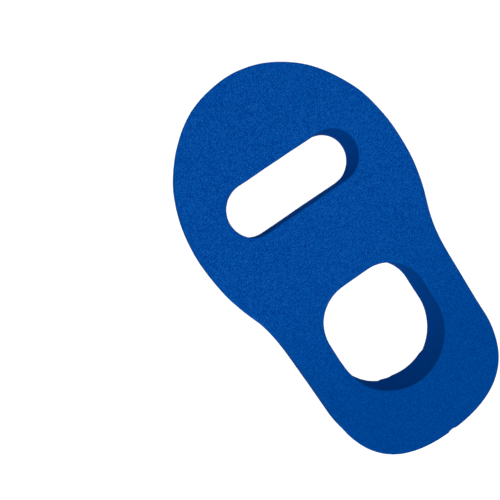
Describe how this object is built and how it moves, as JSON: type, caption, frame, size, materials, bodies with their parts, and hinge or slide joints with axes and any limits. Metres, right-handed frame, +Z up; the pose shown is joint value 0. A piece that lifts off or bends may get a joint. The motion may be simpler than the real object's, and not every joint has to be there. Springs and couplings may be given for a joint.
{
  "type": "foam aqua boxing glove",
  "caption": "Flat closed-cell foam glove for boxing in water: a broad round head with a finger slot, and a narrower rounded cuff with a wrist hole.",
  "frame": {"origin": "on the underside, at the middle of the length and of the width, so the glove lies on a surface at z = 0", "axes": "+X across the glove, +Y along it from the cuff end to the head, +Z up through its thickness"},
  "size_m": [0.168, 0.3, 0.033],
  "materials": {
    "foam": "matte royal blue closed-cell foam with a fine grain"
  },
  "bodies": {
    "root": {"foam_glove": "foam"}
  },
  "joints": []
}
